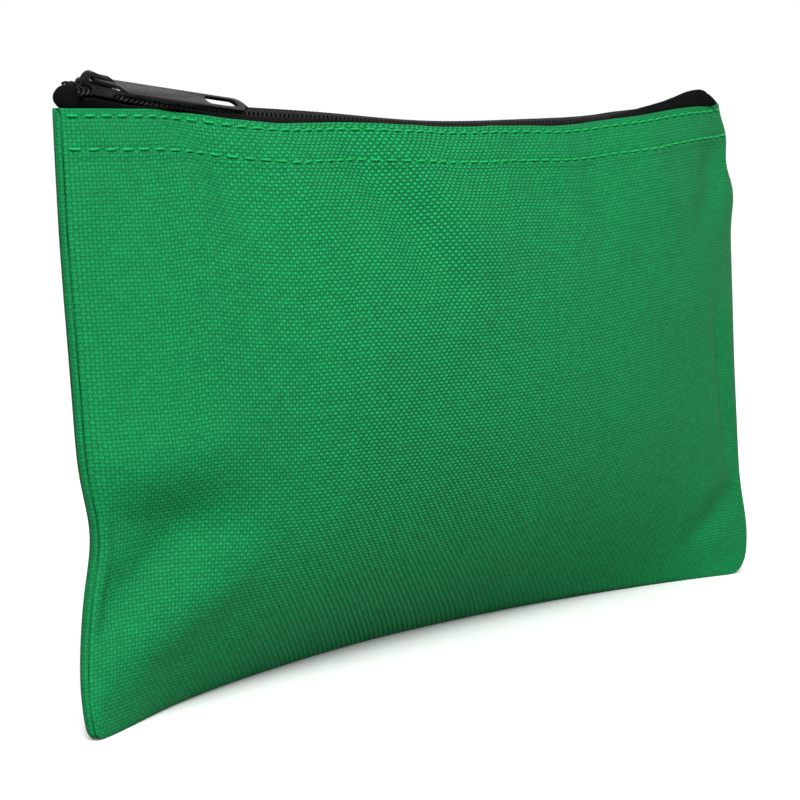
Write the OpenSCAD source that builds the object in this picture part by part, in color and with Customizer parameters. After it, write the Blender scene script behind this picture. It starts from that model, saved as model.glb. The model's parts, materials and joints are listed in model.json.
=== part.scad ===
// Zipped cash deposit bag, filled and standing on its base.
// X runs along the width, -Y is the front and Z is up. The origin is the middle of the base.

/* [Bag] */
// Width from side seam to side seam
bag_w = 280; // [260:1:300]
// Height of the hem's top edge at the side seams
side_h = 151.4; // [142:0.1:158]
// How far the hem's top edge dips at mid-width
mouth_dip = 5.8; // [4:0.1:7]
// How far the top leans back past the base corners
lean = 10; // [6:0.5:12]
// How far each filled wall stands out from the bag's middle surface
fill_t = 16.5; // [12:0.5:20]
// How far the base curves back between its two corners
base_bow = 22.5; // [15:0.5:26]
// Half of the mouth's width at mid-length, between the two hems
mouth_gap = 6; // [5.6:0.1:7]
// Thickness of the woven cloth
cloth_t = 0.8; // [0.6:0.1:1]

/* [Zipper] */
// Width of the closed coil chain
chain_w = 6.2; // [6.0:0.1:6.2]
// Thickness of the coil
coil_t = 2.2; // [2:0.1:2.3]
// Radius of the curve that the closed chain hangs in
chain_r = 813; // [760:1:900]
// Height of the chain's middle above the base at mid-width
chain_z = 145.5; // [145:0.1:147]
// How far the chain is rolled towards the front, in degrees
chain_roll = 18; // [12:1:18]
// Distance from the bag's middle to the closed slider
slider_x = 128.4; // [127:0.1:129]
// Thickness of the zipper tape
tape_t = 0.5; // [0.4:0.1:0.5]

/* [Pull] */
// Length of the pull from its hinge to its tip
pull_l = 52; // [44:1:54]
// Width of the pull
pull_w = 8.4; // [7.6:0.1:8.6]
// Thickness of the pull
pull_t = 1.3; // [1:0.1:1.4]
// Length of the slot near the pull's tip
slot_l = 11; // [8:0.5:12]

/* [Stitching] */
// Length of one visible stitch
stitch_l = 3.4; // [2.6:0.1:3.6]
// Distance from one stitch to the next
stitch_pitch = 4.8; // [4.4:0.1:5.4]
// Depth of the edge stitching below the hem's top edge
edge_drop = 1.8; // [1.6:0.1:2.4]
// Depth of the hem stitching below the hem's top edge
hem_drop = 9.8; // [9:0.1:11]

/* [Hidden] */

// The cloth shape. u runs from the left seam (0) to the right seam (1), z is the height.
y_off = 8.37;           // puts the middle of the bag's depth on Y = 0
seam_t = 0.9;           // half the gap between the walls at a side seam
base_half = 2;          // half the gap between the walls at the base
widest_v = 0.45;        // share of the height at which the walls stand widest apart
bow_u = 0.446;          // where the base is furthest back
corner_r = 7;           // radius of the lower corners
corner_z = 12;          // height at which the lower corners stand out most
corner_out = 2;         // how far they stand out past the top corners
left_pinch = 1.2;       // how far the left edge draws in towards its kink
right_pinch = 3.5;      // the same on the right
left_kink = 21.6;       // spread of the left corner's flare
right_kink = 16.2;      // spread of the right corner's flare
fold_h = 5;             // height of the folded base
panel_z = 8;            // height of the front wall's lower edge
columns = 24;
rows = 12;

function from_mid(u) = abs(2 * u - 1);
function hem_z(u) = side_h - mouth_dip * (1 - pow(from_mid(u), 2));
function corner_cut(z) = z < corner_r ? corner_r - sqrt(corner_r * corner_r - pow(corner_r - z, 2)) : 0;
function half_w(z, pinch, spread) = bag_w / 2 - pinch * (1 - z / side_h)
    + (pinch + corner_out) * exp(-pow((z - corner_z) / spread, 2)) - corner_cut(z);
function left_x(z) = -half_w(z, left_pinch, left_kink);
function right_x(z) = half_w(z, right_pinch, right_kink);
function cloth_x(u, z) = left_x(z) * (1 - u) + right_x(z) * u;
function bow(u) = u < bow_u ? base_bow * (1 - pow(1 - u / bow_u, 2.5))
    : base_bow * (1 - pow((u - bow_u) / (1 - bow_u), 1.5));
function mid_y(u, z) = lean * z / side_h + bow(u) * pow(max(0, 1 - z / hem_z(u)), 3) - y_off;
function fullness(u) = pow(max(0, 1 - pow(from_mid(u), 2.6)), 0.62);
function gap(u) = (mouth_gap - seam_t) * pow(max(0, 1 - pow(from_mid(u), 4)), 0.8);
function lower_t(u, v) = fullness(u) * (base_half
    + (fill_t - base_half) * (1 - pow(max(0, 1 - v / widest_v), 2.2)));
function upper_drop(v) = 1 - pow(max(0, 1 - pow((v - widest_v) / (1 - widest_v), 2.6)), 0.8);
function upper_t(u, v) = fullness(u) * fill_t * (1 - upper_drop(v)) + gap(u) * upper_drop(v);
function half_t(u, z) = seam_t + (z / hem_z(u) < widest_v ? lower_t(u, z / hem_z(u))
    : upper_t(u, min(1, z / hem_z(u))));
// A point of a wall: side is -1 for the front and 1 for the back, out is its distance from the inner face.
function wall(u, z, side, out) = [cloth_x(u, z), mid_y(u, z) + side * (half_t(u, z) + out), z];
function column(i) = (1 - cos(180 * i / columns)) / 2;

// The chain. Angles are measured at the middle of its curve, from straight down towards +X.
chain_y = lean - y_off;
curve_z = chain_z + chain_r;
coil_top = 1.2;         // the coil's upper face above the chain's middle
coil_gap = 0.75;        // half the space that the slider's divider runs in
chain_end = 134.5;      // distance from the bag's middle to each end of the chain
slider_a = -asin(slider_x / chain_r);
slider_half = 4.9;      // half the length of the slider
plate_t = 0.75;
slide_gap = 0.2;        // running clearance round the coil
plate_z = coil_top + slide_gap;
crown_w = 1.9;
tape_z = -(coil_t - coil_top) - 0.15;   // the tape's upper face
base_plate_z = tape_z - tape_t - 0.3;   // the slider's lower plate's upper face
pull_at = [-1.6, 0, 3.4];               // the pull's hinge in the slider's frame
pull_roll = 10;         // how far the pull is rolled past the chain
pull_rise = 1.5;        // how far the resting pull rises from the chain
bar_r = 0.6;

function chain_mid_z(x) = curve_z - sqrt(chain_r * chain_r - x * x);
function arc(x, y, r, a0, a1, n = 8) = [for (k = [0:n])
    let (a = a0 + (a1 - a0) * k / n) [x + r * cos(a), y + r * sin(a)]];

// A closed solid between two grids of points: a is the front or outer face, b the back or inner one.
module cloth(a, b) {
    nu = len(a);
    nv = len(a[0]);
    points = [for (face = [a, b]) for (line = face) for (p = line) p];
    function at(face, i, j) = face * nu * nv + i * nv + j;
    function pair(p, q, r, s, flip) = flip ? [[p, r, q], [p, s, r]] : [[p, q, r], [p, r, s]];
    faces = [
        for (face = [0, 1]) for (i = [0:nu - 2]) for (j = [0:nv - 2])
            each pair(at(face, i, j), at(face, i, j + 1), at(face, i + 1, j + 1), at(face, i + 1, j), face == 1),
        for (end = [0, 1]) for (j = [0:nv - 2]) let (i = end * (nu - 1))
            each pair(at(1, i, j), at(1, i, j + 1), at(0, i, j + 1), at(0, i, j), end == 1),
        for (end = [0, 1]) for (i = [0:nu - 2]) let (j = end * (nv - 1))
            each pair(at(0, i, j), at(1, i, j), at(1, i + 1, j), at(0, i + 1, j), end == 0)
    ];
    polyhedron(points, faces, convexity = 8);
}

module wall_sheet(side, low_z) {
    function height(u, j) = low_z + (hem_z(u) - low_z) * j / rows;
    function grid(out) = [for (i = [0:columns]) [for (j = [0:rows])
        wall(column(i), height(column(i), j), side, out)]];
    cloth(grid(side < 0 ? cloth_t : 0), grid(side < 0 ? 0 : cloth_t));
}

module front_panel() {
    color("forestgreen") wall_sheet(-1, panel_z);
}

module back_panel() {
    color("forestgreen") wall_sheet(1, fold_h + 0.2);
}

// The folded lower edge: a trough that rests on the floor along its whole curve.
module base_fold() {
    outer = [[1, fold_h, 1], [1, 2.2, 1], [1, 0.5, 0.8], [1, 0, 0.55],
        [-1, 0, 0.55], [-1, 0.5, 0.8], [-1, 2.2, 1], [-1, fold_h, 1]];
    function grid(out, lift) = [for (i = [0:columns]) [for (k = outer)
        let (u = column(i), z = min(fold_h, k[1] + lift), t = (half_t(u, k[1]) + out) * k[2])
        [cloth_x(u, k[1]), mid_y(u, k[1]) + k[0] * t, z]]];
    color("forestgreen") cloth(grid(cloth_t, 0), grid(0, 0.8));
}

// The turned-in seam allowance of one side, lying between the two walls.
module side_seam(right) {
    depth = 9;
    function grid(y) = [for (i = [0:3]) [for (j = [0:rows])
        let (u0 = 0.002 + depth / bag_w * i / 3, u = right ? 1 - u0 : u0, z = panel_z + 130 * j / rows)
        [cloth_x(u, z), mid_y(u, z) + y, z]]];
    front = grid(-0.6);
    back = grid(0.6);
    color("darkgreen") cloth(right ? [for (i = [3:-1:0]) front[i]] : front,
        right ? [for (i = [3:-1:0]) back[i]] : back);
}

module left_side_seam() {
    side_seam(false);
}

module right_side_seam() {
    side_seam(true);
}

// The lockstitch through one seam allowance.
module seam_thread(right) {
    inset = 6.5 / bag_w;
    u = right ? 1 - inset : inset;
    color("seagreen") for (z = [panel_z + 4:stitch_pitch:panel_z + 126])
        translate([cloth_x(u, z), mid_y(u, z) - 1, z]) cube([0.5, 0.5, stitch_l], center = true);
}

module left_seam_thread() {
    seam_thread(false);
}

module right_seam_thread() {
    seam_thread(true);
}

// One tape: flat under the coil, then down behind its hem.
module tape(side) {
    steps = 36;
    hidden = 9;
    function rolled(f, w) = [f * cos(chain_roll) - side * w * sin(chain_roll),
        side * f * sin(chain_roll) + w * cos(chain_roll)];
    function profile(x) =
        let (u = 0.5 + x / bag_w, m = chain_mid_z(x), g = seam_t + gap(u) - 0.3 - tape_t,
            p = rolled(4.9, -3.1), low = min(hem_z(u) - 1, m + p[1] - 0.6))
        [concat(rolled(coil_gap + 0.2, tape_z), m), concat(rolled(4.8, tape_z), m), concat(p, m),
            [g, low, 0], [g, hem_z(u) - hidden - 2, 0]];
    function place(x, p) = [x, chain_y + side * p[0], p[1] + p[2]];
    function inward(k) = k == 0 ? [0, -tape_t] : k == 1 ? [-tape_t, -tape_t] : [-tape_t, 0];
    function grid(in) = [for (i = [0:steps]) let (x = chain_end * (2 * i / steps - 1), p = profile(x))
        [for (k = [4:-1:0]) let (d = inward(k)) place(x, [p[k][0] + in * d[0], p[k][1] + in * d[1], p[k][2]])]];
    color("black") cloth(grid(side < 0 ? 0 : 1), grid(side < 0 ? 1 : 0));
}

module front_tape() {
    tape(-1);
}

module rear_tape() {
    tape(1);
}

// Sweeps a flat shape along the chain. The shape's X points down and its Y to the front.
module along_chain(a0, a1) {
    translate([0, chain_y, curve_z]) rotate([90, 0, 0]) rotate([0, 0, a0 - 90])
        rotate_extrude(angle = a1 - a0, $fn = 256) translate([chain_r, 0]) rotate(-chain_roll) children();
}

// Stands its children at one place on the chain. X runs along the chain and Z away from the bag.
module on_chain(a) {
    translate([0, chain_y, curve_z]) rotate([0, -a, 0]) translate([0, 0, -chain_r])
        rotate([chain_roll, 0, 0]) children();
}

module coil(side) {
    end_a = asin(chain_end / chain_r);
    w = chain_w / 2 - coil_gap;
    r = 0.6;
    shape = concat(arc(r, r, r, 180, 270), arc(coil_t - r, r, r, 270, 360),
        arc(coil_t - r, w - r, r, 0, 90), arc(r, w - r, r, 90, 180));
    color("black") along_chain(-end_a, end_a)
        mirror([0, side > 0 ? 1 : 0]) translate([-coil_top, coil_gap]) polygon(shape);
}

module front_coil() {
    coil(-1);
}

module rear_coil() {
    coil(1);
}

// The ends of both tapes, turned down and sewn into the top of a side seam.
module left_zipper_end() {
    r = 3.2;
    color("black") translate([0, chain_y, 0]) {
        translate([-138.6, 0, 155]) rotate([90, 0, 0]) cylinder(h = 6, r = r, center = true, $fn = 48);
        translate([-137.3, 0, 148]) cube([2.6, 1.4, 10], center = true);
    }
}

module right_zipper_end() {
    r = 2.2;
    color("black") translate([0, chain_y, 0]) {
        translate([137.7, 0, 153.9]) rotate([90, 0, 0]) cylinder(h = 5, r = r, center = true, $fn = 48);
        translate([137.2, 0, 147.5]) cube([2.6, 1.4, 10], center = true);
    }
}

// A row of stitches along a hem, each standing just clear of the cloth.
module stitch_row(side, drop) {
    proud = cloth_t + 0.4;
    margin = 5;
    count = floor((bag_w - 2 * margin) / stitch_pitch);
    for (k = [0:count]) {
        u = (margin + k * stitch_pitch) / bag_w;
        ahead = u + stitch_l / bag_w / 2;
        p = wall(u, hem_z(u) - drop, side, proud);
        q = wall(ahead, hem_z(ahead) - drop, side, proud);
        run = q - p;
        translate(p) rotate([0, 0, atan2(run[1], run[0])])
            rotate([0, -atan2(run[2], norm([run[0], run[1]])), 0]) cube([stitch_l, 0.5, 0.5], center = true);
    }
}

module front_edge_stitch() {
    color("limegreen") stitch_row(-1, edge_drop);
}

module front_hem_stitch() {
    color("limegreen") stitch_row(-1, hem_drop);
}

module rear_edge_stitch() {
    color("limegreen") stitch_row(1, edge_drop);
}

module rear_hem_stitch() {
    color("limegreen") stitch_row(1, hem_drop);
}

// The outline of a slider plate: wide shoulders at the nose, narrower at the tail.
module plate_outline(nose_w, tail_w) {
    nose_r = 2.2;
    tail_r = 1.2;
    x0 = -slider_half + nose_r;
    x1 = slider_half - tail_r;
    polygon(concat(arc(x0, nose_w - nose_r, nose_r, 180, 90), arc(x1, tail_w - tail_r, tail_r, 90, 0),
        arc(x1, tail_r - tail_w, tail_r, 0, -90), arc(x0, nose_r - nose_w, nose_r, -90, -180)));
}

module slider_body() {
    flange_low = tape_z + 0.3;
    color("#161616") on_chain(slider_a) {
        translate([0, 0, plate_z]) linear_extrude(plate_t) plate_outline(4.4, 4.1);
        translate([0, 0, base_plate_z - plate_t]) linear_extrude(plate_t) plate_outline(3.3, 3.2);
        // side flanges, which close over the coil and leave a slot for the tape
        translate([0, 0, flange_low]) linear_extrude(plate_z - flange_low + 0.01) difference() {
            plate_outline(4.4, 4.1);
            square([20, 2 * (chain_w / 2 + 0.25)], center = true);
        }
        // divider post at the nose
        translate([-slider_half + 0.4, -0.5, base_plate_z - 0.01])
            cube([2.4, 1, plate_z - base_plate_z + 0.02]);
    }
}

// The loop over the slider that holds the pull.
module slider_crown() {
    foot = plate_z + plate_t;
    outer = concat([[-4.5, foot]], arc(-1.9, 2.9, 2.6, 180, 90), arc(3, 2.6, 1.9, 80, 0), [[4.9, foot]]);
    inner = concat([[-3.4, foot - 1]], arc(-1.9, 2.9, 1.5, 180, 90), arc(3, 2.6, 0.8, 80, 0),
        [[3.8, foot - 1]]);
    color("#161616") on_chain(slider_a) rotate([90, 0, 0]) linear_extrude(crown_w, center = true)
        difference() {
            polygon(outer);
            polygon(inner);
        }
}

module pull_tab() {
    head_w = 5.4;
    head_l = 7.8;
    eye_l = 7;
    tip = pull_l - pull_w / 2;
    slot_w = 2.6;
    slot_end = pull_l - 4 - slot_w / 2;
    body = concat(arc(head_l + 1, pull_w / 2 - 1.5, 1.5, 180, 90), arc(tip, 0, pull_w / 2, 90, -90, 16),
        arc(head_l + 1, 1.5 - pull_w / 2, 1.5, -90, -180));
    color("#161616") on_chain(slider_a) translate(pull_at) rotate([pull_roll, 0, 0]) rotate([0, -pull_rise, 0]) {
        linear_extrude(pull_t, center = true) difference() {
            union() {
                polygon(body);
                translate([0, -head_w / 2]) square([head_l + 1, head_w]);
            }
            translate([-1, -head_w / 2 + 0.9]) square([eye_l + 1, head_w - 1.8]);
            polygon(concat(arc(slot_end, 0, slot_w / 2, 90, -90),
                arc(slot_end - slot_l + slot_w, 0, slot_w / 2, -90, -270)));
        }
        rotate([90, 0, 0]) cylinder(h = head_w, r = bar_r, center = true, $fn = 32);
    }
}

front_panel();
back_panel();
base_fold();
left_side_seam();
right_side_seam();
left_seam_thread();
right_seam_thread();
front_tape();
rear_tape();
front_coil();
rear_coil();
left_zipper_end();
right_zipper_end();
front_edge_stitch();
front_hem_stitch();
rear_edge_stitch();
rear_hem_stitch();
slider_body();
slider_crown();
pull_tab();
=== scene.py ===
"""A zipped cash deposit bag of coarse woven cloth, filled and standing on its base, with its studio."""

import json
import math

import bmesh
import bpy
from bpy.props import FloatProperty, FloatVectorProperty, PointerProperty
from mathutils import Matrix, Vector, noise


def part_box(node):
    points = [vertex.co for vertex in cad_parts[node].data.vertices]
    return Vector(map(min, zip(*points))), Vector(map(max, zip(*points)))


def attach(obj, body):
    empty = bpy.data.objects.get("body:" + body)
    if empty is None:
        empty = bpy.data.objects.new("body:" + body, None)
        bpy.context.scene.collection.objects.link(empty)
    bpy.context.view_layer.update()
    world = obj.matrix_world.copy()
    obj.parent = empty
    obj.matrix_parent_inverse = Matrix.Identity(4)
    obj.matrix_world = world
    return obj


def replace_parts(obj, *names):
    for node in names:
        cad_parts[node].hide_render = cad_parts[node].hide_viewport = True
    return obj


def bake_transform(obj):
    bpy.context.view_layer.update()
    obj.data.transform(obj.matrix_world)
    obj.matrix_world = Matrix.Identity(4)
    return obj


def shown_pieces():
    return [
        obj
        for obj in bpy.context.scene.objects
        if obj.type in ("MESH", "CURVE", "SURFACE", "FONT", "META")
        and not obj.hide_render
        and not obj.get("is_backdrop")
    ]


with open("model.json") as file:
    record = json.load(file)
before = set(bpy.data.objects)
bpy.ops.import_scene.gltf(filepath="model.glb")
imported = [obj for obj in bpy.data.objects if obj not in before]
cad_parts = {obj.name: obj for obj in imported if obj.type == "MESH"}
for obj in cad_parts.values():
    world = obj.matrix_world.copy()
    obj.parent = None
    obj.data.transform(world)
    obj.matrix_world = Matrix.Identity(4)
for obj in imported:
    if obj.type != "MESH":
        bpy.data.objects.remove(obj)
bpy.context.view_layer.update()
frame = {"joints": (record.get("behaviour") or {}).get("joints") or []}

bl_info = {
    "name": "Cash deposit bag",
    "version": (1, 0, 0),
    "blender": (4, 5, 0),
    "location": "View3D > Sidebar > Bag",
    "description": "Builds a zipped cash deposit bag of woven cloth around its packed frame",
    "category": "Object",
}

# Bodies of the frame that the pieces ride on.
BAG = "bag"
SLIDER = "slider"
PULL = "pull"

# Marks the halves of the front, which are left on no body with their place baked into their meshes.
BLENDED = "blended"

MM = 0.001
FRONT_SIDE = -1
BACK_SIDE = 1
WALL_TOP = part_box("front_panel")[1][2]
TRAVEL_JOINT = next(j for j in frame["joints"] if j["name"] == "slider_travel")


def length(name, description, default):
    """A length that a user can change, in metres."""
    return FloatProperty(name=name, description=description, default=default, min=0.0, unit="LENGTH",
                         subtype="DISTANCE", precision=5)


def colour(name, description, default):
    """A colour that a user can change."""
    return FloatVectorProperty(name=name, description=description, default=default, size=3, min=0.0, max=1.0,
                               subtype="COLOR")


class BagSizes(bpy.types.PropertyGroup):
    """Sizes of the bag, its zipper and its stitching."""

    width: length("Width", "Width from side seam to side seam", 0.280)
    hem_height: length("Hem height", "Height of the hem's top edge at the side seams", WALL_TOP)
    mouth_dip: length("Mouth dip", "How far the hem's top edge dips at mid-width", 0.0058)
    lean: length("Lean", "How far the top leans back past the base corners", 0.010)
    fill: length("Fill", "How far each filled wall stands out from the middle surface", 0.0165)
    base_bow: length("Base bow", "How far the base curves back between its corners", 0.0233)
    mouth_gap: length("Mouth gap", "Half the mouth's width at mid-length", 0.006)
    cloth: length("Cloth thickness", "Thickness of the woven cloth", 0.0008)
    yarn_x: length("Warp pitch", "Distance between the upright yarns", 0.00105)
    yarn_z: length("Weft pitch", "Distance between the level yarns", 0.00098)
    hem_depth: length("Hem depth", "Width of the turned-in hem", 0.0118)
    coil_pitch: length("Coil pitch", "Distance from one turn of the coil to the next", 0.00164)
    coil_wire: length("Coil wire", "Diameter of the coil's filament", 0.00072)
    coil_width: length("Coil width", "Width of the closed chain", 0.0062)
    stitch: length("Stitch", "Visible length of one stitch", 0.0034)
    stitch_pitch: length("Stitch pitch", "Distance from one stitch to the next", 0.0048)
    thread: length("Thread", "Diameter of the sewing thread", 0.00074)
    edge_drop: length("Edge stitching", "Depth of the edge stitching below the hem's edge", 0.0018)
    hem_drop: length("Hem stitching", "Depth of the hem stitching below the hem's edge", 0.0098)


class BagColours(bpy.types.PropertyGroup):
    """Colours of the bag's finishes and of the studio."""

    cloth: colour("Cloth", "The yarn where it stands proud", (0.0016, 0.129, 0.0365))
    # Painted shade: the cloth's colour between the yarn crossings, darkened as if in shade.
    cloth_painted_shade: colour("Cloth, deep", "The yarn between the crossings", (0.0003, 0.034, 0.0092))
    thread: colour("Thread", "The green sewing thread", (0.003, 0.190, 0.044))
    tape: colour("Tape", "The zipper tape", (0.0009, 0.0009, 0.0010))
    coil: colour("Coil", "The nylon coil", (0.0016, 0.0016, 0.0018))
    enamel: colour("Enamel", "The coat on the slider and the pull", (0.0010, 0.0010, 0.0010))
    floor: colour("Floor", "The studio floor", (0.96, 0.96, 0.96))


class StudioLights(bpy.types.PropertyGroup):
    """Brightness of the studio."""

    key: FloatProperty(name="Key", description="Power of the key light",
                       default=62.0, min=0.0, unit="POWER")
    fill: FloatProperty(name="Fill", description="Power of the fill light",
                        default=17.0, min=0.0, unit="POWER")
    floor: FloatProperty(name="Floor lamp", description="Power of the lamp that lights only the floor",
                         default=11.0, min=0.0, unit="POWER")
    sky: FloatProperty(name="Surroundings", description="Brightness of the surroundings",
                       default=1.0, min=0.0)


# ---------------------------------------------------------------- shape of the cloth


def smooth(low, high, value):
    """0 below low, 1 above high and smooth between."""
    t = min(1.0, max(0.0, (value - low) / (high - low)))
    return t * t * (3.0 - 2.0 * t)


class Fold:
    """A soft ridge (height above 0) or dent along a straight line on a wall.
    Its places are in metres from the left seam and from the floor."""

    def __init__(self, start, end, width, height):
        self.start = Vector(start)
        self.along = Vector(end) - self.start
        self.width = width
        self.height = height

    def at(self, x, z):
        """How far the cloth moves out at one place."""
        p = Vector((x, z)) - self.start
        share = p.dot(self.along) / self.along.length_squared
        nearest = min(1.0, max(0.0, share))
        away = (p - self.along * nearest).length / self.width
        return self.height * math.exp(-away * away) * (1.0 - 0.5 * abs(2.0 * nearest - 1.0) ** 3)


FRONT_FOLDS = [
    Fold((0.031, 0.160), (0.050, 0.127), 0.0068, -0.0036),
    Fold((0.064, 0.146), (0.078, 0.122), 0.0070, 0.0018),
    Fold((0.036, 0.147), (0.042, 0.130), 0.0060, 0.0014),
    Fold((0.090, 0.146), (0.124, 0.104), 0.0085, -0.0030),
    Fold((0.112, 0.144), (0.142, 0.112), 0.0090, 0.0019),
    Fold((0.002, 0.049), (0.040, 0.049), 0.0090, -0.0033),
    Fold((0.003, 0.030), (0.024, 0.044), 0.0080, -0.0036),
    Fold((0.006, 0.064), (0.044, 0.070), 0.0090, 0.0015),
    Fold((0.010, 0.016), (0.046, 0.032), 0.0080, 0.0018),
    Fold((0.000, 0.026), (0.006, 0.027), 0.0012, -0.0007),
    Fold((0.272, 0.036), (0.262, 0.086), 0.0045, -0.0024),
    Fold((0.278, 0.030), (0.252, 0.014), 0.0060, -0.0021),
    Fold((0.272, 0.139), (0.252, 0.116), 0.0070, -0.0021),
    Fold((0.160, 0.143), (0.178, 0.118), 0.0100, -0.0016),
    Fold((0.200, 0.143), (0.194, 0.114), 0.0100, -0.0018),
    Fold((0.226, 0.145), (0.232, 0.118), 0.0080, 0.0014),
]
BACK_FOLDS = [
    Fold((0.040, 0.146), (0.062, 0.120), 0.0090, -0.0012),
    Fold((0.140, 0.143), (0.128, 0.116), 0.0100, -0.0009),
    Fold((0.236, 0.146), (0.214, 0.118), 0.0090, -0.0012),
    Fold((0.004, 0.050), (0.026, 0.024), 0.0070, -0.0013),
    Fold((0.276, 0.038), (0.252, 0.016), 0.0070, -0.0013),
]


# Slow waves of each side edge (height, spread, how far outwards) and of the hem's top edge
# (how far from the left seam, how wide, how high).
SIDE_WAVES = {
    0: [(0.048, 0.012, -0.0028), (0.125, 0.035, 0.0010), (0.002, 0.016, 0.0036)],
    1: [(0.124, 0.009, 0.0026), (0.153, 0.012, -0.0042), (0.131, 0.006, -0.0020), (0.142, 0.005, 0.0010),
        (0.040, 0.020, 0.0011)],
}
HEM_WAVES = [(0.030, 0.024, 0.0021), (0.100, 0.028, 0.0012), (0.191, 0.019, -0.0009), (0.252, 0.014, 0.0006)]


class Shape:
    """The bag's surfaces. u runs from the left seam (0) to the right seam (1) and z is the height."""

    # Half the distance between the walls at the side seams, what the base adds to it, the share of the
    # height where the fill is widest, and the place along the bag where the base curves back most.
    seam = 0.9 * MM
    base_half = 2.0 * MM
    widest = 0.45
    bow_u = 0.48
    # The lower corners: how round they are, how far forward the left one stands, how high and how far
    # out they reach, how far the sides are drawn in at the foot and over what height the corners flare.
    corner_radius = {0: 2.8 * MM, 1: 6.4 * MM}
    corner_forward = 4.0 * MM
    corner_height = 12.0 * MM
    corner_out = 2.0 * MM
    pinch = {0: 1.2 * MM, 1: 3.5 * MM}
    kink = {0: 21.6 * MM, 1: 16.2 * MM}
    # The height over which the base turns under, and how far the walls end inside the outline.
    under = 2.2 * MM
    inset = 0.7 * MM

    def __init__(self, sizes):
        self.s = sizes
        self.middle = sum(box_y(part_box("rear_coil"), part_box("front_coil"))) / 2
        self.y0 = self.middle - sizes.lean

    def from_mid(self, u):
        return abs(2.0 * u - 1.0)

    def hem_z(self, u):
        ripple = 0.25 * MM * noise.noise(Vector((u * 22.0, 3.1, 0.0)))
        away = u * self.s.width
        waves = sum(h * math.exp(-((away - x) / w) ** 2) for x, w, h in HEM_WAVES)
        return self.s.hem_height - self.s.mouth_dip * (1.0 - self.from_mid(u) ** 2) + waves + ripple

    def half_width(self, z, end):
        r = self.corner_radius[end]
        cut = r - math.sqrt(r * r - (r - z) ** 2) if z < r else 0.0
        flare = math.exp(-((z - self.corner_height) / self.kink[end]) ** 2)
        drawn = self.pinch[end] * (1.0 - z / self.s.hem_height)
        waves = sum(out * math.exp(-((z - height) / spread) ** 2) for height, spread, out in SIDE_WAVES[end])
        return self.s.width / 2 - drawn + (self.pinch[end] + self.corner_out) * flare - cut + waves

    def x(self, u, z):
        left = self.half_width(z, 0) - self.inset
        right = self.half_width(z, 1) - self.inset
        return -left * (1.0 - u) + right * u

    def bow(self, u):
        if u < self.bow_u:
            return self.s.base_bow * (1.0 - (1.0 - u / self.bow_u) ** 1.7)
        return self.s.base_bow * (1.0 - ((u - self.bow_u) / (1.0 - self.bow_u)) ** 2.2)

    def mid_y(self, u, z):
        drop = max(0.0, 1.0 - z / self.hem_z(u))
        corner = self.corner_forward * math.exp(-(u / 0.10) ** 2 - (z / (16.0 * MM)) ** 2)
        return self.y0 + self.s.lean * z / self.s.hem_height + self.bow(u) * drop ** 3 - corner

    def fullness(self, u):
        return max(0.0, 1.0 - self.from_mid(u) ** 2.6) ** 0.62

    def gap(self, u):
        return (self.s.mouth_gap - self.seam) * max(0.0, 1.0 - self.from_mid(u) ** 4) ** 0.8

    def half_t(self, u, z):
        """Half the distance between the inner faces of the two walls."""
        v = z / self.hem_z(u)
        full = self.fullness(u)
        if v < self.widest:
            swell = 1.0 - (1.0 - v / self.widest) ** 2.2
            return self.seam + full * (self.base_half + (self.s.fill - self.base_half) * swell)
        near = min(1.0, (v - self.widest) / (1.0 - self.widest))
        drop = 1.0 - max(0.0, 1.0 - near ** 2.6) ** 0.8
        return self.seam + full * self.s.fill * (1.0 - drop) + self.gap(u) * drop

    def relief(self, u, z, side):
        """Folds, unevenness and the pull of the stitching, outwards from the plain surface."""
        away = u * self.s.width
        folds = FRONT_FOLDS if side == FRONT_SIDE else BACK_FOLDS
        out = sum(f.at(away, z) for f in folds)
        p = Vector((away * 16.0, z * 16.0, 5.0 * side))
        out += 0.55 * MM * noise.noise(p) + 0.22 * MM * noise.noise(p * 2.7)
        below = self.hem_z(u) - z
        out += 0.35 * MM * (1.0 - smooth(self.s.hem_depth - 0.6 * MM, self.s.hem_depth + 0.6 * MM, below))
        turn = 2.0 * math.pi * away / self.s.stitch_pitch
        for drop in (self.s.edge_drop, self.s.hem_drop):
            line = math.exp(-((below - drop) / (0.7 * MM)) ** 2)
            out -= line * (0.22 + 0.12 * math.cos(turn)) * MM
        edge = self.s.width * min(u, 1.0 - u)
        pucker = noise.noise(Vector((z * 95.0, 8.0 * side, 20.0 * u)))
        out += 0.35 * MM * pucker * math.exp(-edge / (11.0 * MM))
        return out * smooth(0.0, 0.016, u) * smooth(0.0, 0.016, 1.0 - u) * smooth(0.0, 12 * MM, z)

    def rounding(self, z):
        """Share of its full half thickness that the base has at a height, as it turns under."""
        t = 1.0 - min(1.0, z / self.under)
        return 0.55 + 0.45 * math.sqrt(1.0 - t * t)

    def wall(self, u, z, side, out):
        """A point of a wall: out is its distance outwards from the inner face."""
        t = (self.half_t(u, z) + out + self.relief(u, z, side)) * self.rounding(z)
        return Vector((self.x(u, z), self.mid_y(u, z) + side * t, z))


def box_y(*boxes):
    """The lowest and highest Y of several boxes."""
    return min(b[0][1] for b in boxes), max(b[1][1] for b in boxes)


# ---------------------------------------------------------------- mesh building


def spaced(low, high, count):
    """Evenly spaced values from low to high, both included."""
    return [low + (high - low) * k / count for k in range(count + 1)]


def catmull(points, steps):
    """A smooth line through points."""
    ends = [points[0] * 2 - points[1], *points, points[-1] * 2 - points[-2]]
    line = []
    for a, b, c, d in zip(ends, ends[1:], ends[2:], ends[3:]):
        for k in range(steps):
            t = k / steps
            line.append(0.5 * (2 * b + (c - a) * t + (2 * a - 5 * b + 4 * c - d) * t * t
                               + (3 * b - a - 3 * c + d) * t ** 3))
    return [*line, points[-1]]


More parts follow.
